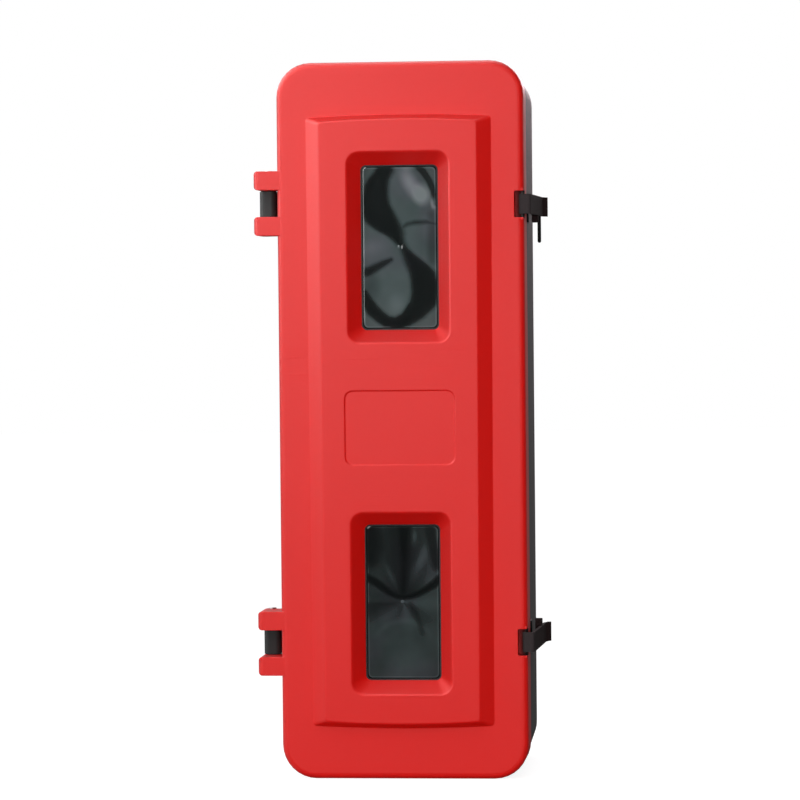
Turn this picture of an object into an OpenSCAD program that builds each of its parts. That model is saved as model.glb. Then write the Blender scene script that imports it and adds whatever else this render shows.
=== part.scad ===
// Fire extinguisher cabinet: a moulded tub with a hinged, windowed door and two side latches.
// The origin is the centre of the flat back, +Z is up and the door faces -Y.

/* [Cabinet] */
// Width across the door
cabinet_w = 290; // [270:1:340]
// Height of the door
cabinet_h = 840; // [800:1:960]
// Depth from the back to the face of the raised panel
cabinet_d = 250; // [225:1:320]
// Radius of the door's four corners
corner_r = 40; // [25:1:60]

/* [Door moulding] */
// Depth of the door's side skirt
skirt_d = 48; // [42:1:60]
// Wall of the door moulding
door_wall = 3.2; // [2.4:0.1:4]
// Rounding of the door's front edge
front_round = 7; // [4:0.5:10]
// Width of the thickened rim where door and tub meet
rim_w = 8; // [7:0.5:11]
// Depth of that thickened rim
rim_d = 9; // [6:0.5:12]
// Gap between the closed door and the tub
door_gap = 1; // [0.8:0.1:3]

/* [Raised panel] */
// Height by which the panel stands above the door's flange
panel_rise = 13; // [9:0.5:16]
// Width of the flange beside the panel's top end
flange_side_top = 35; // [30:0.5:44]
// Width of the flange beside the panel's bottom end
flange_side_low = 37; // [30:0.5:44]
// Width of the flange above the panel
flange_top = 61.5; // [50:0.5:80]
// Width of the flange below the panel
flange_low = 59.5; // [50:0.5:80]
// Width of the bevels at the panel's sides
side_bevel = 16.5; // [10:0.5:20]
// Width of the bevels at the panel's ends
end_bevel = 6; // [3:0.5:9]
// Rise of the arch in the panel's top and bottom lines
panel_arch = 3; // [1:0.5:6]
// How far the panel and its windows lie towards the hinges
panel_shift = 1.5; // [0:0.5:3]

/* [Windows] */
// Width of the upper window's mouth
upper_mouth_w = 120; // [105:1:126]
// Height of the upper window's mouth
upper_mouth_h = 223; // [190:1:236]
// Distance of the upper window's mouth from the door's top
upper_window_in = 105.5; // [90:0.5:120]
// Width of the lower window's mouth
lower_mouth_w = 118; // [105:1:126]
// Height of the lower window's mouth
lower_mouth_h = 213; // [190:1:230]
// Distance of the lower window's mouth from the door's bottom
lower_window_in = 100.5; // [85:0.5:115]
// Width of the sloped reveal at a window's sides
reveal_side = 16; // [10:0.5:18]
// Width of the sloped reveal at a window's ends
reveal_end = 16.5; // [10:0.5:20]
// Depth of the panes below the panel's face
reveal_d = 21; // [17:0.5:24]
// Corner radius of a window's mouth
mouth_r = 14; // [8:0.5:16]
// Corner radius of a pane
pane_r = 5; // [3.5:0.5:8]
// Thickness of a pane
pane_t = 2.5; // [2:0.1:4]
// Width of the gasket line round a pane
gasket_w = 1.5; // [1:0.1:2.5]

/* [Label recess] */
// Width of the bare recess between the windows
label_w = 130; // [90:1:150]
// Height of that recess
label_h = 88; // [60:1:96]
// Height of the recess's middle
label_z = -7.5; // [-15:0.5:-5]
// Depth of the recess
label_d = 1.5; // [0.8:0.1:2]

/* [Tub] */
// Wall of the tub
tub_wall = 3.5; // [2.5:0.1:5]
// How far the tub's rim lies inside the door's edge
tub_inset = 1.5; // [0:0.5:4]
// How far the tub's back end lies inside its rim
tub_draft = 3; // [2:0.5:8]
// Thickness of the seal between door and tub
seal_t = 3; // [2:0.1:4]

/* [Wall mounting] */
// Distance between the two columns of bolt holes
bolt_x = 160; // [100:1:180]
// Distance between the two rows of bolt holes
bolt_z = 560; // [400:1:640]
// Radius of a bolt hole
bolt_r = 4.5; // [3:0.5:6]

/* [Hinges] */
// Distance of the upper hinge's middle from the door's top
upper_hinge_in = 164; // [120:1:200]
// Distance of the lower hinge's middle from the door's bottom
lower_hinge_in = 159; // [120:1:200]
// Length of the knuckle between the two lugs of a hinge
knuckle_l = 29.5; // [24:0.5:40]
// Height of a lug on the door
lug_h = 22; // [16:0.5:28]
// Radius of a lug's round end
lug_r = 13; // [11:0.5:13.5]
// Distance of the hinge axis outside the door's edge
hinge_out = 15; // [14.5:0.5:18]
// Distance of the hinge axis in front of the door's rim
hinge_fore = 6; // [4:0.5:8]
// Half the width of the square knuckle
knuckle_r = 10; // [8:0.5:10.5]
// Radius of a hinge pin
hinge_pin_r = 2.5; // [2:0.1:3]

/* [Latches] */
// Distance of the upper latch's middle from the door's top
upper_latch_in = 168; // [120:0.5:200]
// Distance of the lower latch's middle from the door's bottom
lower_latch_in = 160.5; // [120:0.5:200]
// Height of the notch in the door's edge
notch_h = 31; // [28:0.5:36]
// Depth of the notch from the door's edge
notch_w = 11.5; // [10.5:0.5:12.5]
// Height of a latch lever
lever_h = 23; // [16:0.5:23]
// Thickness of a latch lever
lever_t = 3.5; // [3:0.1:5]
// Length of a latch lever behind its pin
lever_l = 150; // [130:1:160]
// Outer radius of the lever's barrel
barrel_r = 4.4; // [4:0.1:5]
// Radius of a latch pin
latch_pin_r = 1.6; // [1.2:0.1:2]
// Length of the tail that hangs from the upper latch
tail_l = 32; // [15:1:35]

/* [Hidden] */
$fn = 64;
hull_fn = 32;
skin = 0.02;
over = 1;
mask_l = 60;

// Colours as the photograph shows them
red = [0.86, 0.21, 0.19];
black = [0.16, 0.16, 0.17];
smoke = [0.25, 0.29, 0.30, 0.8];
steel = [0.70, 0.71, 0.73];

// Planes from front to back
face_y = -cabinet_d;
flange_y = face_y + panel_rise;
rim_y = flange_y + skirt_d;
tub_y = rim_y + door_gap;
seat_y = face_y + reveal_d;

// Tub
tub_w = cabinet_w - 2 * tub_inset;
tub_h = cabinet_h - 2 * tub_inset;
tub_r = corner_r - tub_inset;
groove_w = 4;
groove_d = 2.5;
groove_in = tub_inset + 2;
seal_play = 0.1;
pad_w = 34;
pad_h = 60;
pad_t = 5;
pad_corner = 6;
tub_fn = 48;
tub_rim_in = 0.5;

// Raised panel
panel_w_top = cabinet_w - 2 * flange_side_top;
panel_w_low = cabinet_w - 2 * flange_side_low;
panel_h = cabinet_h - flange_top - flange_low;
panel_z = (flange_low - flange_top) / 2;
panel_soft = 1.5;
panel_corner = 4;
rib_t = 2;
rib_h = 5;
panel_wall_share = 0.7;
label_r = 10;
label_slope = 1.2;

// Hinges
hinge_x = -cabinet_w / 2 - hinge_out;
hinge_y = rim_y - hinge_fore;
lug_gap = 1;
lug_round = 7;
lug_corner = 5;
lug_set = 0.8;
rim_play = 0.5;
pin_play = 0.05;
bore_over = 20;
pin_head_r = 4.2;
pin_head_t = 1.4;
head_gap = 0.3;
bracket_t = 4;
bracket_l = 46;
bracket_in = 2;
bracket_corner = 5;
knuckle_corner = 6.5;

// Windows
seat_t = 3;
gasket_flange_t = 1;
pane_recess = 0.4;
mouth_soft = 1;
pane_flange = 7;
frame_w = 14;
frame_t = 3;
frame_play = 0.3;
frame_lip = 1;

// Latches
elbow_x = 9.8;
latch_in = 1.8;
latch_back = 1.6;
latch_x = cabinet_w / 2 - latch_in;
latch_y = flange_y + latch_back + barrel_r;
lever_inner_x = latch_x + elbow_x - lever_t;
notch_r = 2;
pocket_wall = 3;
notch_play = 2.6;
notch_floor_y = latch_y + barrel_r + notch_play;
pin_reach = 2.6;
pin_end_gap = 0.2;
elbow_r = 4;
lever_slope = 2.5;
lip_l = 17;
lip_slope = 19;
lip_bead_r = 2.4;
lip_lap = 0.5;
lever_end = (lever_l - lip_l) * cos(lever_slope) + lip_l * cos(lever_slope + lip_slope);
lever_corner = 3;
claw_l = 5.7;
claw_t = 14;
claw_reach = 8;
claw_at = 0.62;
claw_corner = 3;
catch_h = 34;
catch_fore = 30;
catch_l = 14;
catch_foot = 14;
catch_plate = 3;
catch_rear = 1;
catch_play = 7;
catch_shift = 3;
catch_corner = 4;
tail_at = 0.74;
tail_w = 4;
tail_t = 3;
tail_fillet = 4.5;

// A flat outline in X and Z, extruded between two planes in Y
module between(y_front, y_back) {
    translate([0, y_back, 0]) rotate([90, 0, 0]) linear_extrude(y_back - y_front) children();
}

// A rectangle with round corners
module round_rect(w, h, r) {
    square([w - 2 * r, h], center = true);
    square([w, h - 2 * r], center = true);
    for (sx = [-1, 1], sz = [-1, 1]) {
        translate([sx * (w / 2 - r), sz * (h / 2 - r)]) circle(r);
    }
}

// A block with round corners whose front edge is rounded too
module soft_block(w, h, r, round, y_front, y_back) {
    steps = 4;
    hull() {
        between(y_front + round, y_back) round_rect(w, h, r, $fn = hull_fn);
        for (i = [1 : steps]) {
            a = 90 * i / steps;
            inset = round * (1 - cos(a));
            y = y_front + round * (1 - sin(a));
            between(y, y + skin) round_rect(w - 2 * inset, h - 2 * inset, r - inset, $fn = hull_fn);
        }
    }
}

// Outline of the raised panel, drawn in on its sides and ends: arched ends and round corners
module panel_outline(side_in, end_in) {
    arc_steps = 12;
    top = panel_h / 2 - end_in;
    w_top = panel_w_top / 2 - side_in;
    w_low = panel_w_low / 2 - side_in;
    corner_z = top - panel_arch - panel_corner;
    upper = [for (i = [1 : arc_steps - 1]) let (u = 1 - 2 * i / arc_steps)
        [w_top * u, panel_z + top - panel_arch * u * u]];
    lower = [for (i = [1 : arc_steps - 1]) let (u = 2 * i / arc_steps - 1)
        [w_low * u, panel_z - top + panel_arch * u * u]];
    translate([-panel_shift, 0]) {
        polygon(concat(upper, lower));
        for (sx = [-1, 1]) {
            translate([sx * (w_top - panel_corner), panel_z + corner_z]) circle(panel_corner, $fn = hull_fn);
            translate([sx * (w_low - panel_corner), panel_z - corner_z]) circle(panel_corner, $fn = hull_fn);
        }
    }
}

// The panel as a low frustum, with softened upper edges
module panel_block(shrink, y_top, y_foot) {
    hull() {
        between(y_foot, y_foot + skin) panel_outline(shrink, shrink);
        between(y_top + panel_soft / 2, y_top + panel_soft / 2 + skin) {
            panel_outline(side_bevel + shrink, end_bevel + shrink);
        }
        between(y_top, y_top + skin) {
            panel_outline(side_bevel + panel_soft + shrink, end_bevel + panel_soft + shrink);
        }
    }
}

// A pocket that narrows from its mouth towards its floor
module taper_pocket(w, h, r, floor_w, floor_h, y_mouth, y_floor) {
    translate([0, y_mouth, 0]) rotate([-90, 0, 0]) {
        linear_extrude(y_floor - y_mouth, scale = [floor_w / w, floor_h / h], slices = 1) {
            round_rect(w, h, r, $fn = hull_fn);
        }
    }
}

function mouth(i) = i == 0 ? [upper_mouth_w, upper_mouth_h] : [lower_mouth_w, lower_mouth_h];
function pane(i) = [mouth(i)[0] - 2 * reveal_side, mouth(i)[1] - 2 * reveal_end];
function from_end(i, upper, lower) = i == 0 ? cabinet_h / 2 - upper : lower - cabinet_h / 2;
function window_z(i) = from_end(i, upper_window_in + mouth(0)[1] / 2, lower_window_in + mouth(1)[1] / 2);
function hinge_z(i) = from_end(i, upper_hinge_in, lower_hinge_in);
function latch_z(i) = from_end(i, upper_latch_in, lower_latch_in);

// Half the tub's width at a depth: its sides draw in towards the back
function tub_side(y) = tub_w / 2 - tub_draft * (1 - y / tub_y);

// Walls of one window's recess, before its opening is cut
module window_well(i) {
    m = mouth(i);
    p = pane(i);
    grow = 2 * door_wall;
    floor_grow = grow + 2 * gasket_w;
    translate([-panel_shift, 0, window_z(i)]) {
        taper_pocket(m[0] + grow, m[1] + grow, mouth_r + door_wall,
            p[0] + floor_grow, p[1] + floor_grow, face_y + door_wall / 2, seat_y + seat_t);
        between(seat_y, seat_y + seat_t) {
            round_rect(p[0] + 2 * frame_w, p[1] + 2 * frame_w, pane_r + frame_w);
        }
    }
}

// The space in front of one pane
module window_opening(i) {
    m = mouth(i);
    p = pane(i);
    open_w = p[0] + 2 * gasket_w;
    open_h = p[1] + 2 * gasket_w;
    translate([-panel_shift, 0, window_z(i)]) {
        taper_pocket(m[0] + 2 * mouth_soft, m[1] + 2 * mouth_soft, mouth_r + mouth_soft,
            m[0] - mouth_soft, m[1] - mouth_soft, face_y - skin, face_y + mouth_soft);
        hull() {
            between(face_y - skin, face_y) round_rect(m[0], m[1], mouth_r, $fn = hull_fn);
            between(seat_y, seat_y + skin) round_rect(open_w, open_h, pane_r + gasket_w, $fn = hull_fn);
        }
        between(seat_y - skin, seat_y + 2 * seat_t) round_rect(open_w, open_h, pane_r + gasket_w);
    }
}

// Plan of a lug about the hinge axis: round behind, and flush with the door's front
module lug_plan() {
    front = flange_y + lug_set - hinge_y;
    circle(lug_r);
    translate([-lug_r, front + lug_round]) {
        square([lug_r + hinge_out + door_wall / 2, hinge_fore - rim_play - front - lug_round]);
    }
    translate([lug_round - lug_r, front]) {
        square([lug_r - lug_round + hinge_out + front_round, door_wall]);
        square([lug_r - lug_round + hinge_out, lug_round + skin]);
        translate([0, lug_round]) circle(lug_round);
    }
}

// A pair of lugs that hold a hinge pin, with round corners as seen from the front
module hinge_lugs(i) {
    w = 2 * (lug_r + hinge_out);
    for (s = [-1, 1]) {
        z_mid = hinge_z(i) + s * (knuckle_l / 2 + lug_gap + lug_h / 2);
        intersection() {
            difference() {
                translate([hinge_x, hinge_y, z_mid - lug_h / 2]) linear_extrude(lug_h) lug_plan();
                translate([hinge_x, rim_y, z_mid - lug_h]) {
                    cube([hinge_out * 2, lug_r * 2, lug_h * 2]);
                }
            }
            translate([hinge_x - lug_r + w / 2, 0, z_mid]) {
                between(flange_y, rim_y + lug_r) round_rect(w, lug_h, lug_corner);
            }
        }
    }
}

// Stiffening ribs behind the raised panel
module panel_ribs() {
    w = panel_w_low - 2 * side_bevel - 2 * door_wall;
    upper_sill = window_z(0) - mouth(0)[1] / 2;
    lower_head = window_z(1) + mouth(1)[1] / 2;
    step = (upper_sill - lower_head) / 4;
    for (k = [1 : 3]) {
        translate([-panel_shift - w / 2, face_y + door_wall / 2, lower_head + k * step - rib_t / 2]) {
            cube([w, panel_rise + rib_h, rib_t]);
        }
    }
}

module pin_bore(x, y, z, r, l) {
    translate([x, y, z - l / 2]) cylinder(r = r, h = l);
}

// The pocket walls round one latch notch
module notch_walls(i) {
    w = notch_w + pocket_wall;
    h = notch_h + 2 * pocket_wall;
    translate([cabinet_w / 2 - w, flange_y + over, latch_z(i) - h / 2]) {
        cube([w - over, notch_floor_y + pocket_wall - flange_y - over, h]);
    }
}

module notch_cut(i) {
    translate([cabinet_w / 2, 0, latch_z(i)]) {
        between(flange_y - over, notch_floor_y) round_rect(2 * notch_w, notch_h, notch_r);
    }
}

// The one-piece moulding of the door
module door_shell() {
    color(red) difference() {
        union() {
            difference() {
                union() {
                    soft_block(cabinet_w, cabinet_h, corner_r, front_round, flange_y, rim_y);
                    panel_block(0, face_y, flange_y + over);
                }
                soft_block(cabinet_w - 2 * door_wall, cabinet_h - 2 * door_wall, corner_r - door_wall,
                    front_round - door_wall, flange_y + door_wall, rim_y - rim_d);
                between(rim_y - rim_d - skin, rim_y + over) {
                    round_rect(cabinet_w - 2 * rim_w, cabinet_h - 2 * rim_w, corner_r - rim_w);
                }
                panel_block(door_wall * panel_wall_share, face_y + door_wall, flange_y + door_wall + over);
            }
            panel_ribs();
            for (i = [0, 1]) {
                window_well(i);
                notch_walls(i);
                hinge_lugs(i);
            }
        }
        for (i = [0, 1]) {
            window_opening(i);
            notch_cut(i);
            hinge_bore_l = knuckle_l + 2 * lug_h + bore_over;
            pin_bore(hinge_x, hinge_y, hinge_z(i), hinge_pin_r + pin_play, hinge_bore_l);
            pin_bore(latch_x, latch_y, latch_z(i), latch_pin_r + pin_play, notch_h + 2 * pin_reach);
        }
        translate([-panel_shift, 0, label_z]) {
            taper_pocket(label_w, label_h, label_r, label_w - 2 * label_slope, label_h - 2 * label_slope,
                face_y - skin, face_y + label_d);
        }
    }
}

// A ring with square-cut edges round one pane
module pane_ring(i, inner, outer, y_front, y_back) {
    p = pane(i);
    translate([-panel_shift, 0, window_z(i)]) between(y_front, y_back) difference() {
        round_rect(p[0] + 2 * outer, p[1] + 2 * outer, pane_r + outer);
        round_rect(p[0] + 2 * inner, p[1] + 2 * inner, pane_r + inner);
    }
}

module window_gasket(i) {
    back = seat_y + seat_t + gasket_flange_t;
    color(black) {
        pane_ring(i, 0, gasket_w, seat_y + pane_recess, back);
        pane_ring(i, gasket_w - skin, pane_flange, seat_y + seat_t, back);
    }
}

module window_pane(i) {
    p = pane(i);
    back = seat_y + seat_t + gasket_flange_t;
    color(smoke) translate([-panel_shift, 0, window_z(i)]) {
        between(seat_y + 2 * pane_recess, back + skin) round_rect(p[0], p[1], pane_r);
        between(back, back + pane_t) {
            round_rect(p[0] + 2 * pane_flange, p[1] + 2 * pane_flange, pane_r + pane_flange);
        }
    }
}

module pane_frame(i) {
    cover = seat_y + seat_t + gasket_flange_t + pane_t;
    color(black) {
        pane_ring(i, pane_flange + frame_play, frame_w, seat_y + seat_t, cover + skin);
        pane_ring(i, frame_lip, frame_w, cover, cover + frame_t);
    }
}

// The moulded tub with its thickened rim, drafted sides and flat back
module tub_shell() {
    color(black) difference() {
        union() {
            difference() {
                tub_block(0, tub_y, 0);
                tub_block(tub_wall, tub_y - over, -tub_wall);
            }
            between(tub_y, tub_y + rim_d) difference() {
                round_rect(tub_w - 2 * tub_rim_in, tub_h - 2 * tub_rim_in, tub_r - tub_rim_in);
                round_rect(cabinet_w - 2 * rim_w - 2 * tub_inset, cabinet_h - 2 * rim_w - 2 * tub_inset,
                    corner_r - rim_w - tub_inset);
            }
            for (sx = [-1, 1], sz = [-1, 1]) translate([sx * bolt_x / 2, 0, sz * bolt_z / 2]) {
                between(-tub_wall - pad_t, -tub_wall / 2) round_rect(pad_w, pad_h, pad_corner);
            }
        }
        between(tub_y - over, tub_y + groove_d) seal_outline(0);
        for (sx = [-1, 1], sz = [-1, 1]) translate([sx * bolt_x / 2, 0, sz * bolt_z / 2]) {
            between(-2 * tub_wall - pad_t, over) circle(bolt_r);
        }
    }
}

// The tub's outer form drawn in by a wall
module tub_block(wall, y_front, y_back) {
    w = tub_w - 2 * wall;
    h = tub_h - 2 * wall;
    drawn_in = [(w - 2 * tub_draft) / w, (h - 2 * tub_draft) / h];
    translate([0, y_front, 0]) rotate([-90, 0, 0]) {
        linear_extrude(y_back - y_front, scale = drawn_in, slices = 1) {
            round_rect(w, h, tub_r - wall, $fn = tub_fn);
        }
    }
}

module seal_outline(play) {
    w = cabinet_w - 2 * groove_in;
    h = cabinet_h - 2 * groove_in;
    r = corner_r - groove_in;
    difference() {
        round_rect(w - 2 * play, h - 2 * play, r - play);
        round_rect(w - 2 * groove_w + 2 * play, h - 2 * groove_w + 2 * play, r - groove_w + play);
    }
}

module rim_seal() {
    color(black) between(tub_y + groove_d - seal_t, tub_y + groove_d) seal_outline(seal_play);
}

// Black bracket on the tub's side that carries the knuckle
module hinge_bracket(i) {
    y_fore = tub_y + bracket_in;
    y_aft = y_fore + bracket_l;
    color(black) translate([0, 0, hinge_z(i)]) difference() {
        union() {
            intersection() {
                translate([0, 0, -knuckle_l / 2]) linear_extrude(knuckle_l) polygon([
                    [hinge_x - knuckle_r, hinge_y],
                    [hinge_x + knuckle_r, hinge_y],
                    [hinge_x + knuckle_r, y_fore],
                    [-tub_side(y_fore), y_fore],
                    [-tub_side(y_aft), y_aft],
                    [-tub_side(y_aft) - bracket_t, y_aft],
                    [-tub_side(y_aft) - bracket_t, y_aft - bracket_l / 4]
                ]);
                translate([hinge_x - knuckle_r - over, 0, 0]) rotate([90, 0, 90]) linear_extrude(mask_l) {
                    translate([y_aft - bracket_l, 0]) round_rect(2 * bracket_l, knuckle_l, bracket_corner);
                }
            }
            translate([hinge_x, hinge_y, -knuckle_l / 2]) linear_extrude(knuckle_l) {
                round_rect(2 * knuckle_r, 2 * knuckle_r, knuckle_corner);
            }
        }
        translate([hinge_x, hinge_y, -knuckle_l]) {
            cylinder(r = hinge_pin_r + pin_play, h = 2 * knuckle_l);
        }
    }
}

module hinge_pin(i) {
    l = knuckle_l + 2 * lug_gap + 2 * lug_h;
    color(steel) translate([hinge_x, hinge_y, hinge_z(i)]) {
        translate([0, 0, -l / 2]) cylinder(r = hinge_pin_r, h = l + head_gap + skin);
        translate([0, 0, l / 2 + head_gap]) cylinder(r = pin_head_r, h = pin_head_t);
    }
}

// Wedge on the tub's side behind which the lever's claw lies
module catch_block(i) {
    y_peak = tub_y + catch_fore;
    y_fore = y_peak - catch_foot;
    y_aft = y_peak + catch_l;
    peak = lever_inner_x + (y_peak - latch_y) * tan(lever_slope) - catch_play;
    z_mid = from_end(i, upper_latch_in + catch_shift, lower_latch_in + catch_shift);
    color(black) translate([0, 0, z_mid]) intersection() {
        translate([0, 0, -catch_h / 2]) linear_extrude(catch_h) polygon([
            [tub_side(y_fore), y_fore],
            [tub_side(y_fore) + catch_plate, y_fore],
            [peak, y_peak],
            [tub_side(y_aft) + catch_rear, y_aft],
            [tub_side(y_aft), y_aft]
        ]);
        translate([tub_side(y_aft) - over, 0, 0]) rotate([90, 0, 90]) linear_extrude(mask_l) {
            translate([(y_fore + y_aft) / 2, 0]) round_rect(y_aft - y_fore, catch_h, catch_corner);
        }
    }
}

// Plan of a lever: barrel, elbow, arm and flared lip
module lever_plan() {
    circle(barrel_r);
    difference() {
        union() {
            translate([elbow_x - elbow_r, -barrel_r + elbow_r]) circle(elbow_r);
            translate([0, -barrel_r]) square([elbow_x - elbow_r, lever_t]);
            translate([elbow_x - lever_t, -barrel_r + elbow_r]) square([lever_t, elbow_r]);
        }
        translate([0, -barrel_r + lever_t]) square([elbow_x - lever_t, 2 * barrel_r]);
    }
    translate([elbow_x - lever_t, 0]) rotate(-lever_slope) {
        square([lever_t, lever_l - lip_l]);
        translate([0, lever_l - lip_l - lip_lap]) rotate(-lip_slope) {
            square([lever_t, lip_l - lip_bead_r]);
            translate([lever_t - lip_bead_r, lip_l - lip_bead_r]) circle(lip_bead_r);
        }
    }
}

// The claw behind the arm; it reaches past the arm's edge towards the door's middle
module lever_claw(i) {
    side = i == 0 ? -1 : 1;
    translate([elbow_x - lever_t, 0, side * claw_reach / 2]) rotate(-lever_slope) {
        translate([-claw_l, lever_l * claw_at, 0]) rotate([90, 0, 90]) {
            linear_extrude(claw_l + lever_t / 2) translate([claw_t / 2, 0]) {
                round_rect(claw_t, lever_h + claw_reach, claw_corner);
            }
        }
    }
}

module latch_lever(i) {
    color(black) translate([latch_x, latch_y, latch_z(i)]) difference() {
        union() {
            translate([0, 0, -lever_h / 2]) intersection() {
                linear_extrude(lever_h) lever_plan();
                translate([-mask_l / 2, 0, lever_h / 2]) rotate([90, 0, 90]) {
                    linear_extrude(mask_l) round_rect(2 * lever_end, lever_h, lever_corner);
                }
            }
            lever_claw(i);
        }
        translate([0, 0, -lever_h / 2 - over]) cylinder(r = latch_pin_r + pin_play, h = lever_h + 2 * over);
    }
}

module latch_pin(i) {
    color(steel) pin_bore(latch_x, latch_y, latch_z(i), latch_pin_r, notch_h + 2 * pin_reach - pin_end_gap);
}

// Thin tail that hangs under the upper lever
module seal_tail() {
    s = lever_l * tail_at;
    top = latch_z(0) - lever_h / 2;
    color(black) translate([latch_x + elbow_x - lever_t, latch_y, 0]) rotate([0, 0, -lever_slope]) {
        translate([lever_t - tail_w, s, top]) rotate([90, 0, 0]) linear_extrude(tail_t) {
            translate([0, -tail_l + tail_w / 2]) square([tail_w, tail_l - tail_w / 2]);
            translate([tail_w / 2, -tail_l + tail_w / 2]) circle(tail_w / 2);
            difference() {
                translate([-tail_fillet, -tail_fillet]) square([tail_fillet + skin, tail_fillet]);
                translate([-tail_fillet, -tail_fillet]) circle(tail_fillet);
            }
        }
    }
}

tub_shell();
rim_seal();
hinge_bracket(0);  // hinge_bracket_upper
hinge_bracket(1);  // hinge_bracket_lower
hinge_pin(0);  // hinge_pin_upper
hinge_pin(1);  // hinge_pin_lower
catch_block(0);  // catch_upper
catch_block(1);  // catch_lower
door_shell();
window_gasket(0);  // window_gasket_upper
window_gasket(1);  // window_gasket_lower
window_pane(0);  // window_pane_upper
window_pane(1);  // window_pane_lower
pane_frame(0);  // pane_frame_upper
pane_frame(1);  // pane_frame_lower
latch_pin(0);  // latch_pin_upper
latch_pin(1);  // latch_pin_lower
latch_lever(0);  // latch_lever_upper
latch_lever(1);  // latch_lever_lower
seal_tail();
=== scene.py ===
"""Fire extinguisher cabinet: looks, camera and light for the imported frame."""
import math

import bmesh
import bpy
from mathutils import Euler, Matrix, Quaternion, Vector, noise

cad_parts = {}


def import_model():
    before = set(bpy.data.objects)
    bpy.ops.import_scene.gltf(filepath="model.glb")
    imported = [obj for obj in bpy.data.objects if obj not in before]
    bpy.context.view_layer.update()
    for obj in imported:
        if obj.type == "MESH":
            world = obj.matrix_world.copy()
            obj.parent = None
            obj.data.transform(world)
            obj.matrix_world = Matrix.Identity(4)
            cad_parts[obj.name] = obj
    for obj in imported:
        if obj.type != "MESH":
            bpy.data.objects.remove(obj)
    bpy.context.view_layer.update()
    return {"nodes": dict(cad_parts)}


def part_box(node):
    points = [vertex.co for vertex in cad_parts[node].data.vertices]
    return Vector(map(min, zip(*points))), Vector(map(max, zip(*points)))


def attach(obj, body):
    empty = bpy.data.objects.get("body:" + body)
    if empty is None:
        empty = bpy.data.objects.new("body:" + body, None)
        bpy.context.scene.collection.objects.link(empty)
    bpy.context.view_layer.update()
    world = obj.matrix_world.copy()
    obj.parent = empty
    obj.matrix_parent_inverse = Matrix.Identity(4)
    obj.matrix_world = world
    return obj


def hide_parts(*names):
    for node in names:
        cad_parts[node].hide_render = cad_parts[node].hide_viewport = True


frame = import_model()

NODES = frame["nodes"]
LEVELS = ("upper", "lower")

# Camera: the point that it aims at, its angles in degrees, its distance in metres, its lens in millimetres
AIM = Vector((-0.0008, -0.250, 0.0249))
AZIMUTH, ELEVATION, ROLL = 5.6, 1.4, -0.55
DISTANCE = 4.3
LENS, SENSOR = 166.0, 36.0

# Rays that a lamp doesn't act on: lamps without a highlight, one of them unseen, and cards that are
# only highlights
DULL, DULL_UNSEEN, CARD = ("glossy",), ("glossy", "camera"), ("diffuse", "camera")
WHITE, PINK = (1, 1, 1), (1.0, 0.80, 0.85)
# Lamps: name, place, aim, width and height, watts, the rays that they don't act on, and their colour
LAMPS = (
    ("key_left", (-3.0, -5.2, 0.35), (0, -0.2, -0.10), (3.0, 1.4), 90, DULL, WHITE),
    ("top_front", (0.7, -7.0, 5.4), (0, -0.25, 0.0), (6.2, 3.6), 180, DULL, WHITE),
    ("front_fill", (0.6, -4.6, 0.15), (0, -0.25, -0.25), (2.4, 1.1), 73, DULL_UNSEEN, WHITE),
    ("card_front", (-0.54, -1.30, 0.50), (-0.20, -0.25, 0.28), (0.45, 0.8), 6.8, CARD, WHITE),
    ("card_left", (-1.3, -0.60, 0.60), (-0.1, -0.25, 0.20), (0.7, 1.0), 18, CARD, WHITE),
    ("card_wells", (-0.60, -0.85, 1.10), (0.03, -0.25, -0.10), (1.2, 0.9), 24, CARD, WHITE),
    ("card_top", (-0.1, 0.05, 1.70), (0, -0.24, 0.2), (0.9, 1.0), 17, CARD, WHITE),
    ("card_high_left", (-1.35, 0.25, 1.10), (-0.05, -0.24, 0.0), (1.1, 1.1), 22, CARD, WHITE),
    ("card_back", (0.45, 1.80, 0.95), (0.15, -0.1, 0.30), (1.0, 0.8), 18, CARD, PINK),
)
# Gap between the part and the floor, and how bright the floor looks to the camera
FLOOR_GAP, FLOOR_GLOW = 0.0002, 0.88

# Colours of the red plastic: its two clouds, its grain, the painted highlight along its edges
# and the painted shade in the notches
RED_LOW, RED_HIGH = (0.655, 0.0034, 0.0014), (0.700, 0.0050, 0.0022)
RED_GRAIN = (0.52, 0.002, 0.002)
RED_EDGE_HIGHLIGHT = (0.80, 0.04, 0.038)
RED_SHADE = (0.03, 0.002, 0.002)
# Painted highlight along the edges of the black plastic
BLACK_EDGE_HIGHLIGHT = (0.16, 0.16, 0.165)

# Colours of the panes: their smoke tint, from the darkest to the brightest of their painted reflections
SMOKE_AND_REFLECTION = (
    (0.0, (0.003, 0.0045, 0.0045)),
    (0.3, (0.013, 0.017, 0.017)),
    (0.45, (0.027, 0.036, 0.036)),
    (0.62, (0.064, 0.088, 0.090)),
    (1.0, (0.21, 0.25, 0.26)),
)

# Faint scratches on the panel, above the label recess and above the lower window:
# heights at which each band of them starts, is full, fades and ends
SCRATCHES = ((0.035, 0.05, 0.085, 0.10), (-0.105, -0.098, -0.086, -0.078))

# Latch notches: height of the shade, its soft edge, how far in from the door's edge it starts,
# how dark it is there, and the width over which it gets fully dark
NOTCH_H, NOTCH_SOFT = 0.0312, 0.0004
NOTCH_IN, NOTCH_START, NOTCH_FADE = 0.0116, 0.55, 0.0056
# Depths at which the shade in a notch starts, is full, fades and ends, from the axis of the latch pin
NOTCH_DEPTHS = (-0.0059, -0.0025, 0.0084, 0.0088)
# Depths behind a lever's front face between which its arm is painted darker, as painted shade
ARM_SHADE_START, ARM_SHADE_FULL = 0.0014, 0.0154

# Segments round screws and washers
ROUND = 48
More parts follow.
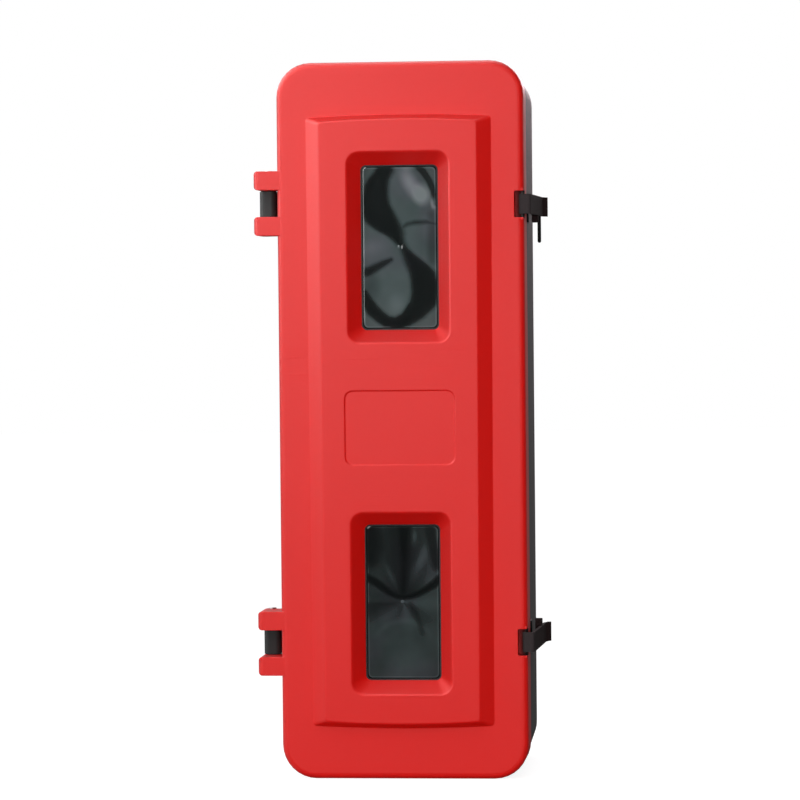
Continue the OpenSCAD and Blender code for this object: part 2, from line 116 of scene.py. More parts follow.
# Rings of a pan-head screw with a cross recess, in shares of the head's radius: radius, height and
# how far the ring is drawn in between the four arms of the cross, where 1 is round
SCREW_RINGS = (
    (0.93, 0.0, 1.0), (1.0, 0.12, 1.0), (1.0, 0.255, 1.0), (0.93, 0.4444, 1.0), (0.78, 0.558, 1.0),
    (0.55, 0.62, 0.40), (0.52, 0.6014, 0.36), (0.40, 0.2604, 0.36), (0.12, 0.2232, 1.0),
)
# Head radius of the screws, and their distance from the frame's edges
FRAME_SCREW_R, FRAME_SCREW_IN = 0.0028, 0.0055
# The same from the end of a bracket's plate, and their distance above and below its middle
BRACKET_SCREW_R, BRACKET_SCREW_IN, BRACKET_SCREW_UP = 0.0026, 0.006, 0.0085
# Thickness of a bracket's plate, and how far the tub's side leans in over its depth
BRACKET_T, TUB_DRAFT = 0.004, 0.003
# Inner and outer radius of the washers, their thickness and the play beside them
WASHER_IN, WASHER_OUT, WASHER_T, WASHER_PLAY = 0.0029, 0.0092, 0.0009, 0.00005

# Panes: width and thickness of the flange behind the gasket, round of the corners and of the line
# along the edge, columns of the mesh, and the brightness of everything but the front
PANE_FLANGE, PANE_STEP = 0.007, 0.0025
PANE_CORNER, PANE_LINE_CORNER = 0.005, 0.0065
PANE_COLUMNS = 110
PANE_BACK_SHADE = 0.3
# Relief of a pane's front: how far back it lies, its waves, its round edge, and the dish and pit of
# the mark that the mould's gate left
PANE_SET, PANE_WAVE, PANE_ROUND, GATE_DISH, GATE_PIT = 0.0006, 0.00045, 0.0005, 0.0005, 0.0006
# Place of the gate's mark in shares of the width and height, the radius of the painted highlight
# that rings it, and how far from the edge the painted highlight along it runs
GATE, GATE_HIGHLIGHT_R, EDGE_HIGHLIGHT_IN = (0.49, 0.495), 0.0012, 0.0021
# Height of a pane in widths, for its bands and ovals
TALL = 2.1

# Painted reflections of the panes, in shares of their width and height from the upper left corner.
# The band has rows of (height, left edge, right edge)
UPPER_BAND = (
    (0.0, 0.22, 0.40), (0.03, 0.19, 0.40), (0.08, 0.10, 0.35), (0.12, 0.05, 0.335), (0.172, 0.01, 0.33),
    (0.234, -0.02, 0.355), (0.272, -0.02, 0.395), (0.31, 0.02, 0.435), (0.349, 0.08, 0.475),
    (0.387, 0.19, 0.51), (0.425, 0.34, 0.53), (0.464, 0.44, 0.535), (0.50, 0.525, 0.575),
    (0.54, 0.555, 0.665), (0.579, 0.58, 0.77), (0.617, 0.61, 0.87), (0.655, 0.64, 0.95),
    (0.70, 0.66, 0.985), (0.77, 0.667, 1.0), (0.81, 0.66, 0.99), (0.85, 0.64, 0.97), (0.885, 0.60, 0.90),
    (0.93, 0.52, 0.79), (0.965, 0.42, 0.66), (1.0, 0.40, 0.50),
)
# Strokes: how dark, where the soft edge starts and is full, and points of (x, y, half width)
UPPER_STROKES = (
    (0.97, -0.048, 0.045, ((0.70, 0.885, 0.115), (0.58, 0.942, 0.085), (0.44, 0.968, 0.068),
                           (0.32, 0.957, 0.066), (0.22, 0.925, 0.072), (0.13, 0.885, 0.078),
                           (0.06, 0.84, 0.070), (0.0, 0.785, 0.055))),
    (0.80, -0.045, 0.04, ((0.0, 0.655, 0.050), (0.08, 0.645, 0.050), (0.17, 0.625, 0.045),
                          (0.27, 0.60, 0.034), (0.38, 0.575, 0.014))),
    (0.42, -0.04, 0.02, ((0.53, 0.38, 0.006), (0.60, 0.358, 0.014), (0.70, 0.348, 0.018),
                         (0.86, 0.345, 0.018), (1.0, 0.36, 0.014))),
    (0.62, -0.035, 0.02, ((0.72, -0.01, 0.03), (0.82, 0.035, 0.034), (0.90, 0.09, 0.032),
                          (0.95, 0.15, 0.030), (0.985, 0.23, 0.03))),
    (0.25, -0.08, 0.03, ((0.93, 0.30, 0.02), (0.95, 0.45, 0.05), (0.93, 0.58, 0.03))),
)
LOWER_WEDGE = ((0.52, -0.05, 0.085), (0.52, 0.12, 0.066), (0.52, 0.28, 0.046), (0.50, 0.44, 0.028))
LOWER_STROKES = (
    (0.90, -0.06, 0.06, LOWER_WEDGE),
    (1.0, -0.034, 0.030, ((-0.02, 0.325, 0.034), (0.05, 0.350, 0.042), (0.12, 0.368, 0.046),
                          (0.22, 0.402, 0.044), (0.32, 0.440, 0.036), (0.40, 0.460, 0.028),
                          (0.50, 0.468, 0.028), (0.62, 0.460, 0.024), (0.72, 0.440, 0.028),
                          (0.82, 0.415, 0.038), (0.92, 0.385, 0.046), (1.02, 0.340, 0.046))),
    (0.34, -0.06, 0.04, ((0.60, 0.515, 0.012), (0.67, 0.57, 0.034), (0.73, 0.64, 0.020),
                         (0.76, 0.70, 0.006))),
    (0.55, -0.08, 0.03, ((0.88, 0.03, 0.05), (0.92, 0.12, 0.05), (0.97, 0.26, 0.04))),
    (0.75, -0.16, 0.04, ((0.0, 0.02, 0.10), (0.08, 0.12, 0.08), (0.05, 0.22, 0.03))),
    (0.38, -0.14, 0.05, ((0.0, 0.55, 0.08), (0.20, 0.52, 0.06), (0.40, 0.50, 0.02))),
)
# Ovals: how much brighter, or darker below 0, their middle, half width and half height, and their turn
UPPER_OVALS = (
    (0.34, (0.65, 0.11), (0.15, 0.36), -0.50),
    (0.50, (0.80, 0.175), (0.17, 0.20), -0.3),
    (0.55, (0.955, 0.225), (0.055, 0.12), 0.0),
    (0.10, (0.45, 0.86), (0.20, 0.22), 0.0),
    (0.10, (0.62, 0.015), (0.14, 0.05), 0.0),
    (0.08, (0.10, 0.50), (0.3, 0.2), 0.0),
    (-0.10, (0.10, 0.74), (0.22, 0.26), 0.0),
    (-0.04, (0.78, 0.45), (0.2, 0.2), 0.0),
)
LOWER_TOP_OVALS = (
    (0.20, (0.66, 0.07), (0.07, 0.20), 0.0),
    (0.17, (0.72, 0.25), (0.11, 0.46), 0.40),
    (0.16, (0.34, 0.33), (0.07, 0.30), -0.45),
    (0.16, (0.99, 0.08), (0.05, 0.3), 0.0),
)
LOWER_FOOT_OVALS = ((0.04, (0.5, 0.93), (0.5, 0.4), 0.0),)


# Node helpers
def rgba(colour):
    """A colour, or a single number for a grey, as the four numbers that a socket takes."""
    return (*colour, 1) if isinstance(colour, tuple) else (colour, colour, colour, 1)


class Tree:
    """A short way to build the node tree of a material or of the world."""

    def __init__(self, node_tree):
        self.nodes = node_tree.nodes
        self.links = node_tree.links
        self.nodes.clear()

    def add(self, kind, **settings):
        """A new node with these settings."""
        node = self.nodes.new(kind)
        for key, value in settings.items():
            setattr(node, key, value)
        return node

    def wire(self, value, socket):
        """Links an output to the socket, or sets the socket to a plain value."""
        if isinstance(value, bpy.types.NodeSocket):
            self.links.new(value, socket)
        elif value is not None:
            socket.default_value = value

    def feed(self, node, *values):
        """Wires the values to the node's inputs in their order, and gives its first output."""
        for value, socket in zip(values, node.inputs):
            self.wire(value, socket)
        return node.outputs[0]

    def calc(self, operation, first, second, clamp=False):
        """The result of one operation on two numbers."""
        return self.feed(self.add("ShaderNodeMath", operation=operation, use_clamp=clamp), first, second)

    def times(self, first, second):
        return self.calc("MULTIPLY", first, second)

    def plus(self, first, second, clamp=False):
        return self.calc("ADD", first, second, clamp)

    def ramp(self, value, *stops):
        """The colour that a value has on a ramp with stops of (position, colour)."""
        node = self.add("ShaderNodeValToRGB")
        elements = node.color_ramp.elements
        while len(elements) < len(stops):
            elements.new(0.5)
        for k, (position, colour) in enumerate(stops):
            elements[k].position = position
            elements[k].color = rgba(colour)
        return self.feed(node, value)

    def grey(self, value):
        """A value as a grey between black and white."""
        return self.ramp(value, (0.0, 0.0), (1.0, 1.0))

    def mix(self, share, first, second, blend="MIX"):
        """The first colour at share 0 and the second at share 1."""
        node = self.add("ShaderNodeMix", data_type="RGBA", blend_type=blend)
        self.wire(share, node.inputs["Factor"])
        for name, colour in (("A", first), ("B", second)):
            self.wire(rgba(colour) if isinstance(colour, tuple) else colour, node.inputs[name])
        return node.outputs["Result"]

    def span(self, value, low, high, at_low=0.0, at_high=1.0, smooth=True):
        """Goes from at_low to at_high while the value goes from low to high."""
        node = self.add("ShaderNodeMapRange", interpolation_type="SMOOTHSTEP" if smooth else "LINEAR")
        return self.feed(node, value, low, high, at_low, at_high)

    def between(self, value, start, full, fade, end):
        """1 while the value is between full and fade, with soft ends to start and end."""
        return self.times(self.span(value, start, full), self.span(value, fade, end, 1.0, 0.0))

    def place(self, stretch=(1, 1, 1)):
        """The point on the object, stretched along its axes."""
        node = self.add("ShaderNodeMapping")
        node.inputs["Scale"].default_value = stretch
        return self.feed(node, self.add("ShaderNodeTexCoord").outputs["Object"])

    def axes(self, vector):
        """The parts X, Y and Z of a vector."""
        node = self.add("ShaderNodeSeparateXYZ")
        self.feed(node, vector)
        return node.outputs

    def noise(self, scale, detail=2.0, roughness=0.5, stretch=(1, 1, 1)):
        """Noise on the object, from 0 to 1."""
        node = self.add("ShaderNodeTexNoise")
        self.wire(self.place(stretch), node.inputs["Vector"])
        for key, value in (("Scale", scale), ("Detail", detail), ("Roughness", roughness)):
            node.inputs[key].default_value = value
        return node.outputs["Fac"]

    def bump(self, height, distance, strength=1.0, normal=None):
        """The normal, tilted by a relief that is this distance high."""
        node = self.add("ShaderNodeBump")
        node.inputs["Strength"].default_value = strength
        node.inputs["Distance"].default_value = distance
        self.wire(height, node.inputs["Height"])
        self.wire(normal, node.inputs["Normal"])
        return node.outputs[0]

    def soft_edges(self, radius):
        """The normal with edges rounded to this radius."""
        return self.feed(self.add("ShaderNodeBevel", samples=6), radius)

    def edge_mask(self, rounded):
        """0 on flat areas and 1 along edges, from how far the rounded normal turns away."""
        flat = self.add("ShaderNodeNewGeometry").outputs["Normal"]
        node = self.add("ShaderNodeVectorMath", operation="DOT_PRODUCT")
        self.feed(node, rounded, flat)
        return self.span(self.calc("SUBTRACT", 1.0, node.outputs["Value"]), 0.02, 0.35)

    def light(self, colour):
        """A background of one colour."""
        return self.feed(self.add("ShaderNodeBackground"), colour)

    def choose(self, share, first, second):
        """The first shader at share 0 and the second at share 1."""
        return self.feed(self.add("ShaderNodeMixShader"), share, first, second)


def material(name):
    """A new material, its tree and the inputs of its shader."""
    made = bpy.data.materials.new(name)
    made.use_nodes = True
    tree = Tree(made.node_tree)
    shader = tree.add("ShaderNodeBsdfPrincipled")
    tree.wire(shader.outputs[0], tree.add("ShaderNodeOutputMaterial").inputs["Surface"])
    return made, tree, shader.inputs


def dress(node, made):
    """Gives a CAD node's object one material."""
    slots = NODES[node].material_slots
    if not slots:
        NODES[node].data.materials.append(made)
    for slot in slots:
        slot.material = made


# Materials
def scratches(tree):
    """Faint level scratches in two bands of the panel."""
    height = tree.axes(tree.place())["Z"]
    lines = tree.span(tree.noise(24, 2, 0.6, (0.5, 1, 30)), 0.56, 0.72)
    upper, lower = (tree.between(height, *band) for band in SCRATCHES)
    return tree.times(lines, tree.plus(upper, lower, clamp=True))


def notch_shade(tree):
    """1 on the deep walls of the two latch notches in the door's edge, where shade is painted."""
    at = tree.axes(tree.place())
    heights = []
    for level in LEVELS:
        axis = middle_of("latch_pin_" + level)
        foot, head = axis.z - NOTCH_H / 2, axis.z + NOTCH_H / 2
        heights.append(tree.between(at["Z"], foot - NOTCH_SOFT, foot, head, head + NOTCH_SOFT))
    pin_y = middle_of("latch_pin_upper").y
    deep = tree.between(at["Y"], *(pin_y + depth for depth in NOTCH_DEPTHS))
    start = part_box("door_shell")[1].x - NOTCH_IN
    across = tree.span(at["X"], start, start + NOTCH_FADE, NOTCH_START, 1.0, smooth=False)
    across = tree.times(tree.span(at["X"], start - NOTCH_SOFT, start), across)
    return tree.times(tree.times(tree.calc("MAXIMUM", *heights), deep), across)


def red_plastic():
    """Glossy moulded plastic with a cloudy colour and a fine grain, a painted highlight along its edges and
    painted shade in the latch notches.
    """
    made, tree, shader = material("red_plastic")
    rounded = tree.soft_edges(0.0013)
    fine = tree.noise(420, 3, 0.6)
    colour = tree.mix(tree.noise(7, 3), RED_LOW, RED_HIGH)
    colour = tree.mix(tree.times(fine, 0.10), colour, RED_GRAIN)
    # A painted highlight along the edges
    colour = tree.mix(tree.times(tree.edge_mask(rounded), 0.25), colour, RED_EDGE_HIGHLIGHT)
    # Painted shade on the deep walls of the latch notches
    colour = tree.mix(tree.times(notch_shade(tree), 0.97), colour, RED_SHADE)
    tree.wire(colour, shader["Base Color"])
    tree.wire(tree.span(fine, 0.3, 0.7, 0.40, 0.48), shader["Roughness"])
    shader["IOR"].default_value = 1.45
    normal = tree.bump(tree.noise(60, 2), 0.00010, 1.0, rounded)
    normal = tree.bump(tree.noise(1500, 2), 0.00003, 0.6, normal)
    tree.wire(tree.bump(scratches(tree), 0.00008, 1.0, normal), shader["Normal"])
    return made


def dark_plastic(name, low, high, rough, grain=900, radius=0.0006, shine=0.5, arm=None):
    """Grained black plastic with painted edge highlights, and painted shade on the arms of the levers."""
    made, tree, shader = material(name)
    rounded = tree.soft_edges(radius)
    fine = tree.noise(grain, 3, 0.6)
    colour = tree.mix(tree.noise(9, 3), low, high)
    # A painted highlight along the edges
    colour = tree.mix(tree.times(tree.edge_mask(rounded), 0.25), colour, BLACK_EDGE_HIGHLIGHT)
    # On the levers, painted shade darkens the arm behind the front face
    if arm:
        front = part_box("latch_lever_upper")[0].y
        depth = tree.span(tree.axes(tree.place())["Y"], front + ARM_SHADE_START, front + ARM_SHADE_FULL, 0.0, 0.9)
        colour = tree.mix(depth, colour, arm)
    tree.wire(colour, shader["Base Color"])
    tree.wire(tree.span(fine, 0.3, 0.7, rough - 0.05, rough + 0.06), shader["Roughness"])
    tree.wire(tree.bump(fine, 0.00006, 0.8, rounded), shader["Normal"])
    shader["Specular IOR Level"].default_value = shine
    return made


def rubber(name):
    """Dull black rubber."""
    made, tree, shader = material(name)
    grain = tree.noise(700, 2)
    colour = tree.mix(tree.noise(90, 3), (0.010, 0.010, 0.011), (0.022, 0.022, 0.023))
    tree.wire(colour, shader["Base Color"])
    tree.wire(tree.span(grain, 0.3, 0.7, 0.6, 0.75), shader["Roughness"])
    tree.wire(tree.bump(grain, 0.00005, 0.7), shader["Normal"])
    return made


def turned_steel(name, low, high):
    """Steel with the fine level marks of a lathe."""
    made, tree, shader = material(name)
    marks = tree.noise(900, 2, 0.5, (0.15, 0.15, 1))
    tree.wire(tree.mix(marks, low, high), shader["Base Color"])
    shader["Metallic"].default_value = 1.0
    tree.wire(tree.span(marks, 0.3, 0.7, 0.25, 0.42), shader["Roughness"])
    tree.wire(tree.bump(marks, 0.00003, 0.6, tree.soft_edges(0.0004)), shader["Normal"])
    return made


def smoke_plastic():
    """Smoke-coloured glossy pane, with painted reflections read from a colour attribute of the mesh."""
    made, tree, shader = material("pane_plastic")
    painted_reflection = tree.add("ShaderNodeAttribute", attribute_name="painted_reflection").outputs["Color"]
    cloud = tree.times(tree.calc("SUBTRACT", tree.noise(28, 2), 0.5), 0.16)
    light = tree.plus(tree.feed(tree.add("ShaderNodeSeparateColor"), painted_reflection), cloud)
    tint = tree.mix(tree.span(tree.noise(19, 2), 0.45, 0.65), (0.97, 1.02, 1.0), (1.06, 0.98, 1.05))
    tree.wire(tree.mix(1.0, tree.ramp(light, *SMOKE_AND_REFLECTION), tint, "MULTIPLY"), shader["Base Color"])
    tree.wire(tree.span(tree.noise(300, 2), 0.3, 0.7, 0.03, 0.07), shader["Roughness"])
    shader["Transmission Weight"].default_value = 0.25
    shader["IOR"].default_value = 1.46
    return made


# Mesh tools
def middle_of(node):
    """The middle of a CAD node's box."""
    low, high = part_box(node)
    return (low + high) / 2


def link_mesh(bm, name, made, smooth=True):
    """A new object in the scene with this mesh and one material."""
    mesh = bpy.data.meshes.new(name)
    bm.to_mesh(mesh)
    bm.free()
    for face in mesh.polygons:
        face.use_smooth = smooth
    mesh.materials.append(made)
    o = bpy.data.objects.new(name, mesh)
    bpy.context.scene.collection.objects.link(o)
    return o


def to_object(bm, name, body, made):
    """A piece that only the scene has, riding with a body of the part."""
    o = link_mesh(bm, name, made)
    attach(o, body)
    return o


def bridge(bm, rings, closed=True):
    """Faces from each ring or row of vertices to the next."""
    for one, other in zip(rings, rings[1:]):
        count = len(one)
        for j in range(count if closed else count - 1):
            k = (j + 1) % count
            bm.faces.new((one[j], one[k], other[k], other[j]))


def circle(radius, height):
    """Points round a level circle, with the angle of each."""
    for j in range(ROUND):
        angle = 2 * math.pi * j / ROUND
        yield angle, Vector((radius * math.cos(angle), radius * math.sin(angle), height))


def add_screw(bm, at, out, radius, turn):
    """A pan-head screw with a cross recess, whose head rests on the point at and faces out."""
    place = Vector(out).to_track_quat("Z", "Y").to_matrix().to_4x4()
    place.translation = Vector(at)
    place = place @ Euler((0, 0, turn)).to_matrix().to_4x4()
    rings = []
    for share, height, waist in SCREW_RINGS:
        ring = []
        for angle, point in circle(share * radius, height * radius):
            point.xy *= waist + (1 - waist) * math.cos(2 * angle) ** 8
            ring.append(bm.verts.new(place @ point))
        rings.append(ring)
    bridge(bm, rings)
    bm.faces.new(rings[-1])
    bm.faces.new(list(reversed(rings[0])))


def add_screws(name, body, points, out, radius, made):
    """One object with a screw on each point, all turned differently."""
    bm = bmesh.new()
    for k, point in enumerate(points):
        add_screw(bm, point, out, radius, 0.4 + 1.3 * k)
    to_object(bm, name, body, made)


def add_washer(bm, at):
    """A flat washer that lies on the point at."""
    rings = []
    for radius, height in ((WASHER_IN, 0), (WASHER_OUT, 0), (WASHER_OUT, WASHER_T), (WASHER_IN, WASHER_T)):
        rings.append([bm.verts.new(at + point) for angle, point in circle(radius, height)])
    bridge(bm, rings + rings[:1])
    bmesh.ops.recalc_face_normals(bm, faces=bm.faces[:])


# Panes
def smooth_step(low, high, value):
    """0 at low and 1 at high, with a soft start and end."""
    share = max(0.0, min(1.0, (value - low) / (high - low)))
    return share * share * (3 - 2 * share)


def band_depth(u, v, rows):
    """How far a point lies inside a band given by rows of edges: above 0 is inside."""
    for (v0, left0, right0), (v1, left1, right1) in zip(rows, rows[1:]):
        if v <= v1:
            share = (v - v0) / (v1 - v0)
            left, right = left0 + share * (left1 - left0), right0 + share * (right1 - right0)
            lean = 0.5 * (left1 + right1 - left0 - right0) / (TALL * (v1 - v0))
            return min(u - left, right - u) / math.hypot(1, lean)
    return -1.0


def stroke_depth(u, v, tall, stroke):
    """How far a point lies inside a stroke of varying width: above 0 is inside."""
    best = -9.0
    for (u0, v0, half0), (u1, v1, half1) in zip(stroke, stroke[1:]):
        du, dv = u1 - u0, (v1 - v0) * tall
        pu, pv = u - u0, (v - v0) * tall
        share = max(0.0, min(1.0, (pu * du + pv * dv) / (du * du + dv * dv)))
        away = math.hypot(pu - share * du, pv - share * dv)
        best = max(best, half0 + share * (half1 - half0) - away)
    return best


def darkest(u, v, tall, strokes):
    """How dark the darkest of the strokes is at a point."""
    return max(dark * smooth_step(start, full, stroke_depth(u, v, tall, points))
               for dark, start, full, points in strokes)


def oval(u, v, middle, half, turn):
    """1 in the middle of a soft oval and 0 outside it."""
    cos, sin = math.cos(turn), math.sin(turn)
    du, dv = u - middle[0], (v - middle[1]) * TALL
    return smooth_step(1.0, 0.0, math.hypot((du * cos + dv * sin) / half[0], (dv * cos - du * sin) / half[1]))


def all_ovals(u, v, ovals):
    """What the ovals add together at a point."""
    return sum(strength * oval(u, v, middle, half, turn) for strength, middle, half, turn in ovals)


def upper_light(u, v, tall):
    """Painted reflection on the upper pane: a dark S-shaped band and a pale patch at the upper right."""
    band = band_depth(u, v, UPPER_BAND)
    dark = max(smooth_step(-0.066, 0.056, band), darkest(u, v, tall, UPPER_STROKES))
    corner = smooth_step(0.20, -0.10, u + 1.6 * v)
    band_top = smooth_step(0.03, 0.12, band) * smooth_step(0.35, 0.15, v)
    base = 0.655 + all_ovals(u, v, UPPER_OVALS) - 0.18 * corner
    return base * (1 - 0.74 * dark) + 0.10 * band_top


def lower_light(u, v, tall):
    """Painted reflection on the lower pane: a dark wedge and two arcs that meet at the gate."""
    wedge = smooth_step(-0.34, -0.02, stroke_depth(u, v, tall, LOWER_WEDGE))
    top = all_ovals(u, v, LOWER_TOP_OVALS) - 0.15 * wedge - 0.10 * (1 - u)
    # Below the gate's level a faint fan spreads out, with a faint ring across it
    angle = math.atan2(v - 0.50, (u - 0.50) * 0.5) if v > 0.5 else 0.0
    fan = math.sin(5 * angle + 1.2) * smooth_step(0.75, 0.5, v)
    ring_distance = abs(math.hypot(u - 0.5, (v - 0.82) * TALL) - 0.42)
    ring = smooth_step(0.07, 0.0, ring_distance) * smooth_step(0.75, 0.66, v)
    foot = all_ovals(u, v, LOWER_FOOT_OVALS) + 0.05 * fan + 0.045 * ring
    above = smooth_step(0.50, 0.44, v)
    base = 0.50 + above * top + (1 - above) * foot
    return base * (1 - 0.86 * darkest(u, v, tall, LOWER_STROKES))


def edge_distance(x, z, width, height, corner):
    """Distance from a point to the outline of a rectangle with round corners."""
    dx, dz = min(x, width - x), min(z, height - z)
    if dx < corner and dz < corner:
        return corner - math.hypot(corner - dx, corner - dz)
    return min(dx, dz)


def into_corner(x, z, width, height, corner):
    """Moves a point outside the round of a rectangle's corner onto it, and leaves every other point."""
    dx, dz = x - max(min(x, width - corner), corner), z - max(min(z, height - corner), corner)
    away = math.hypot(dx, dz)
    if away <= corner:
        return x, z
    return x - dx + dx * corner / away, z - dz + dz * corner / away


def pane_vertex(bm, layer, at, shade):
    """A vertex of a pane with its brightness."""
    vertex = bm.verts.new(at)
    vertex[layer] = (shade, shade, shade, 1)
    return vertex


def pane_front(bm, layer, corner, width, height, light_of):
    """The slightly waved front of a pane, as rows of vertices from its upper left corner."""
    tall = height / width
    lines = int(PANE_COLUMNS * tall)
    rows = []
    for j in range(lines + 1):
        row = []
        for i in range(PANE_COLUMNS + 1):
            u, v = i / PANE_COLUMNS, j / lines
            x, z = into_corner(u * width, v * height, width, height, PANE_CORNER)
            edge = edge_distance(u * width, v * height, width, height, PANE_LINE_CORNER)
            gate = math.hypot((u - GATE[0]) * width, (v - GATE[1]) * height)
            wave = PANE_WAVE * noise.noise(Vector((u * 2.1, v * 3.2, 4.7))) * smooth_step(0, 0.012, edge)
            dip = GATE_DISH * smooth_step(0.006, 0.0, gate) - GATE_PIT * smooth_step(0.0014, 0.0009, gate)
            depth = PANE_SET + wave + dip + PANE_ROUND * smooth_step(0.0014, 0.0, edge)
            # Painted reflection with painted highlights round the gate's mark and along the edge, black at
            # the rim
            shade = light_of(u, v, tall) + 0.30 * smooth_step(0.0011, 0.0, abs(gate - GATE_HIGHLIGHT_R))
            shade += 0.16 * smooth_step(0.0012, 0.0, abs(edge - EDGE_HIGHLIGHT_IN))
            shade *= smooth_step(0.0004, 0.0015, edge)
            row.append(pane_vertex(bm, layer, corner + Vector((x, depth, -z)), shade))
        rows.append(row)
    return rows


def warped_pane(node, body, light_of, made):
    """The pane as a moulded sheet: waved face with a gate mark, rounded edge, stepped flange, flat back."""
    low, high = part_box(node)
    middle = middle_of(node)
    width, height = high.x - low.x - 2 * PANE_FLANGE, high.z - low.z - 2 * PANE_FLANGE
    bm = bmesh.new()
    layer = bm.verts.layers.float_color.new("painted_reflection")
    corner = Vector((low.x + PANE_FLANGE, low.y, high.z - PANE_FLANGE))
    rows = pane_front(bm, layer, corner, width, height, light_of)
    bridge(bm, rows, closed=False)
    # The rim runs along the top, down the right, back along the foot and up the left
    rim = rows[0] + [row[-1] for row in rows[1:]] + rows[-1][-2::-1] + [row[0] for row in rows[-2:0:-1]]
    rings = [rim]
    for out, y in ((0.0, high.y - PANE_STEP), (PANE_FLANGE, high.y - PANE_STEP), (PANE_FLANGE, high.y)):
        ring = []
        for vertex in rim:
            x = middle.x + (vertex.co.x - middle.x) * (1 + 2 * out / width)
            z = middle.z + (vertex.co.z - middle.z) * (1 + 2 * out / height)
            ring.append(pane_vertex(bm, layer, (x, y, z), PANE_BACK_SHADE))
        rings.append(ring)
    bridge(bm, rings)
    bm.faces.new(list(reversed(rings[-1])))
    bmesh.ops.recalc_face_normals(bm, faces=bm.faces)
    o = to_object(bm, "warped_" + node, body, made)
    o.data.set_sharp_from_angle(angle=math.radians(40))
    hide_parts(node)


# Fasteners
def frame_screws(made):
    """Eight screws round the back of each pane frame."""
    for level in LEVELS:
        node = "pane_frame_" + level
        low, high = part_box(node)
        middle = middle_of(node)
        xs = (low.x + FRAME_SCREW_IN, high.x - FRAME_SCREW_IN)
        zs = (low.z + FRAME_SCREW_IN, high.z - FRAME_SCREW_IN)
        points = [(x, high.y, z) for x in xs for z in zs]
        points += [(x, high.y, middle.z) for x in xs] + [(middle.x, high.y, z) for z in zs]
        add_screws("frame_screws_" + level, "door", points, (0, 1, 0), FRAME_SCREW_R, made)


def bracket_screws(made):
    """Two screws in the plate of each hinge bracket, which lies on the tub's drafted side."""
    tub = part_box("tub_shell")[0]
    for level in LEVELS:
        node = "hinge_bracket_" + level
        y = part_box(node)[1].y - BRACKET_SCREW_IN
        x = tub.x + TUB_DRAFT * (1 - y / tub.y) - BRACKET_T
        points = [(x, y, middle_of(node).z + up) for up in (-BRACKET_SCREW_UP, BRACKET_SCREW_UP)]
        add_screws("bracket_screws_" + level, "cabinet", points, (-1, 0, 0), BRACKET_SCREW_R, made)


def hinge_washers(made):
    """Thin washers in the gaps between each knuckle and the lugs above and below it."""
    bm = bmesh.new()
    for level in LEVELS:
        axis = middle_of("hinge_pin_" + level)
        foot, head = (corner.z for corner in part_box("hinge_bracket_" + level))
        for z in (foot - WASHER_T - WASHER_PLAY, head + WASHER_PLAY):
            add_washer(bm, Vector((axis.x, axis.y, z)))
    to_object(bm, "hinge_washers", "cabinet", made)


# Stage and light
def world():
    """White for the camera, a dim studio for reflections and a soft grey for everything else."""
    made = bpy.data.worlds.new("studio")
    bpy.context.scene.world = made
    made.use_nodes = True
    tree = Tree(made.node_tree)
    toward = tree.axes(tree.add("ShaderNodeTexCoord").outputs["Generated"])
    # Reflections: a room that is brighter to the left and above, and a wall behind the part
    left = tree.times(tree.span(toward["X"], -0.45, -0.95), 2.0)
    up = tree.times(tree.span(toward["Z"], 0.0, 0.7), 0.35)
    room = tree.grey(tree.plus(0.05, tree.plus(left, up)))
    wall = tree.grey(tree.span(toward["Z"], -0.24, 0.22, 0.03, 0.46))
    studio = tree.mix(tree.span(toward["Y"], 0.42, 0.8), room, wall)
    # Everything else: brighter from above, darker from the right and from the camera's side
    fill = tree.mix(tree.span(toward["Z"], -0.6, 0.7), (0.09, 0.09, 0.10), (0.50, 0.50, 0.50))
    fill = tree.mix(tree.span(toward["X"], -0.2, 0.9), fill, (0.10, 0.10, 0.10))
    fill = tree.mix(tree.span(toward["Y"], -0.4, -0.9), fill, (0.05, 0.05, 0.05))
    ray = tree.add("ShaderNodeLightPath").outputs
    seen = tree.calc("MAXIMUM", ray["Is Camera Ray"], ray["Is Transmission Ray"])
    unseen = tree.choose(ray["Is Glossy Ray"], tree.light(fill), tree.light(studio))
    surface = tree.choose(seen, unseen, tree.light(rgba(1)))
    tree.wire(surface, tree.add("ShaderNodeOutputWorld").inputs["Surface"])


def turn_to(o, direction, roll=0.0):
    """Turns a lamp or camera to look along the direction."""
    o.rotation_mode = "QUATERNION"
    o.rotation_quaternion = direction.to_track_quat("-Z", "Y") @ Quaternion((0, 0, 1), roll)


def lamp(name, at, aim, size, watts, unlit, colour):
    """An area lamp that doesn't act on the rays in unlit."""
    data = bpy.data.lights.new(name, "AREA")
    data.shape = "RECTANGLE"
    data.size, data.size_y = size
    data.energy, data.color = watts, colour
    o = bpy.data.objects.new(name, data)
    bpy.context.scene.collection.objects.link(o)
    o.location = at
    turn_to(o, Vector(aim) - Vector(at))
    for ray in unlit:
        setattr(o, "visible_" + ray, False)


def floor():
    """A wide white floor under the part, which is a mid grey to every ray but the camera's."""
    made, tree, shader = material("floor_white")
    tree.wire(tree.mix(tree.noise(2, 2), (0.30, 0.30, 0.30), (0.33, 0.33, 0.33)), shader["Base Color"])
    shader["Roughness"].default_value = 0.9
    tree.wire(tree.bump(tree.noise(500, 2), 0.0001, 0.2), shader["Normal"])
    shader["Emission Color"].default_value = rgba(1)
    ray = tree.add("ShaderNodeLightPath").outputs
    tree.wire(tree.times(ray["Is Camera Ray"], FLOOR_GLOW), shader["Emission Strength"])
    bm = bmesh.new()
    bmesh.ops.create_grid(bm, x_segments=8, y_segments=8, size=12)
    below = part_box("door_shell")[0].z - FLOOR_GAP
    for vertex in bm.verts:
        vertex.co.z = below
    o = link_mesh(bm, "floor", made, smooth=False)
    o.visible_glossy = False


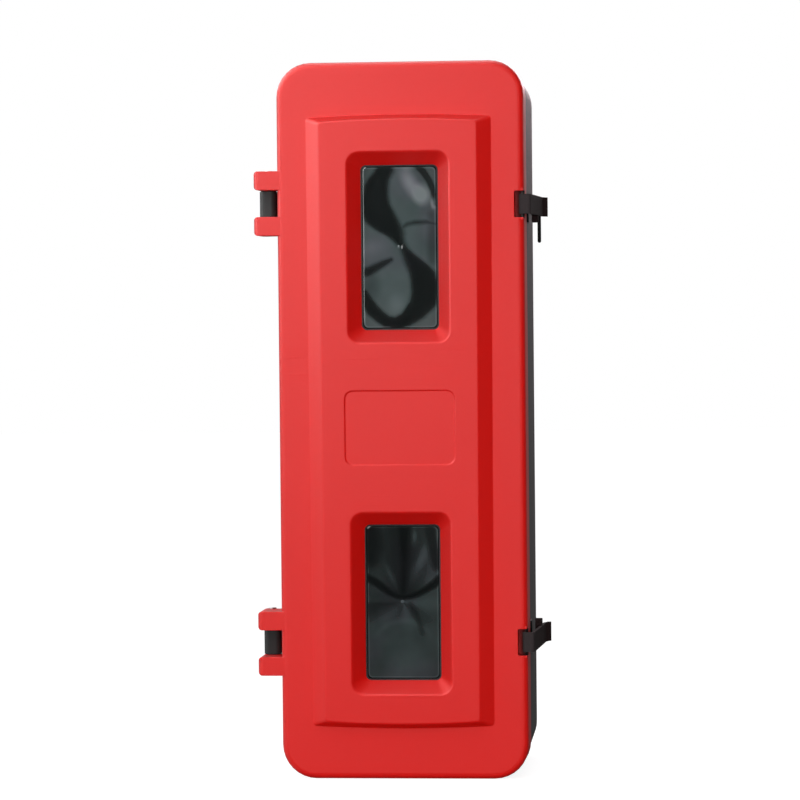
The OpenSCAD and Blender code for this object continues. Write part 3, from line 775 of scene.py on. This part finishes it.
def camera():
    """The camera as it stood for the photograph."""
    azimuth, elevation = math.radians(AZIMUTH), math.radians(ELEVATION)
    level = math.cos(elevation)
    back = Vector((math.sin(azimuth) * level, -math.cos(azimuth) * level, math.sin(elevation)))
    data = bpy.data.cameras.new("camera")
    data.sensor_width, data.lens = SENSOR, LENS
    data.clip_start, data.clip_end = 0.1, 60
    o = bpy.data.objects.new("camera", data)
    bpy.context.scene.collection.objects.link(o)
    o.location = AIM + back * DISTANCE
    turn_to(o, -back, math.radians(ROLL))
    bpy.context.scene.camera = o


def main():
    """Sets up the stage, dresses the CAD pieces and adds the panes and the fasteners."""
    bpy.context.scene.view_settings.view_transform = "Standard"
    camera()
    world()
    for row in LAMPS:
        lamp(*row)
    floor()
    steel = turned_steel("pin_steel", (0.42, 0.42, 0.43), (0.62, 0.62, 0.62))
    dark_steel = turned_steel("dark_steel", (0.035, 0.033, 0.032), (0.075, 0.070, 0.068))
    black = dark_plastic("black_plastic", (0.015, 0.016, 0.016), (0.025, 0.027, 0.027), 0.42, shine=0.20)
    lever = dark_plastic("lever_plastic", (0.032, 0.026, 0.027), (0.046, 0.037, 0.038), 0.38, shine=0.005,
                         arm=(0.024, 0.0135, 0.0135))
    deep_black = dark_plastic("deep_black", (0.007, 0.007, 0.007), (0.012, 0.012, 0.012), 0.45, shine=0.08)
    tub = dark_plastic("tub_plastic", (0.022, 0.022, 0.024), (0.034, 0.034, 0.036), 0.60, 650, 0.0010)
    seal = rubber("seal_rubber")
    dress("door_shell", red_plastic())
    dress("tub_shell", tub)
    dress("rim_seal", seal)
    for level in LEVELS:
        dress("hinge_bracket_" + level, black)
        dress("pane_frame_" + level, black)
        dress("latch_lever_" + level, lever)
        dress("catch_" + level, deep_black)
        dress("window_gasket_" + level, seal)
        dress("hinge_pin_" + level, steel)
        dress("latch_pin_" + level, dark_steel)
    dress("seal_tail", deep_black)
    pane = smoke_plastic()
    warped_pane("window_pane_upper", "door", upper_light, pane)
    warped_pane("window_pane_lower", "door", lower_light, pane)
    frame_screws(steel)
    bracket_screws(steel)
    hinge_washers(black)


main()
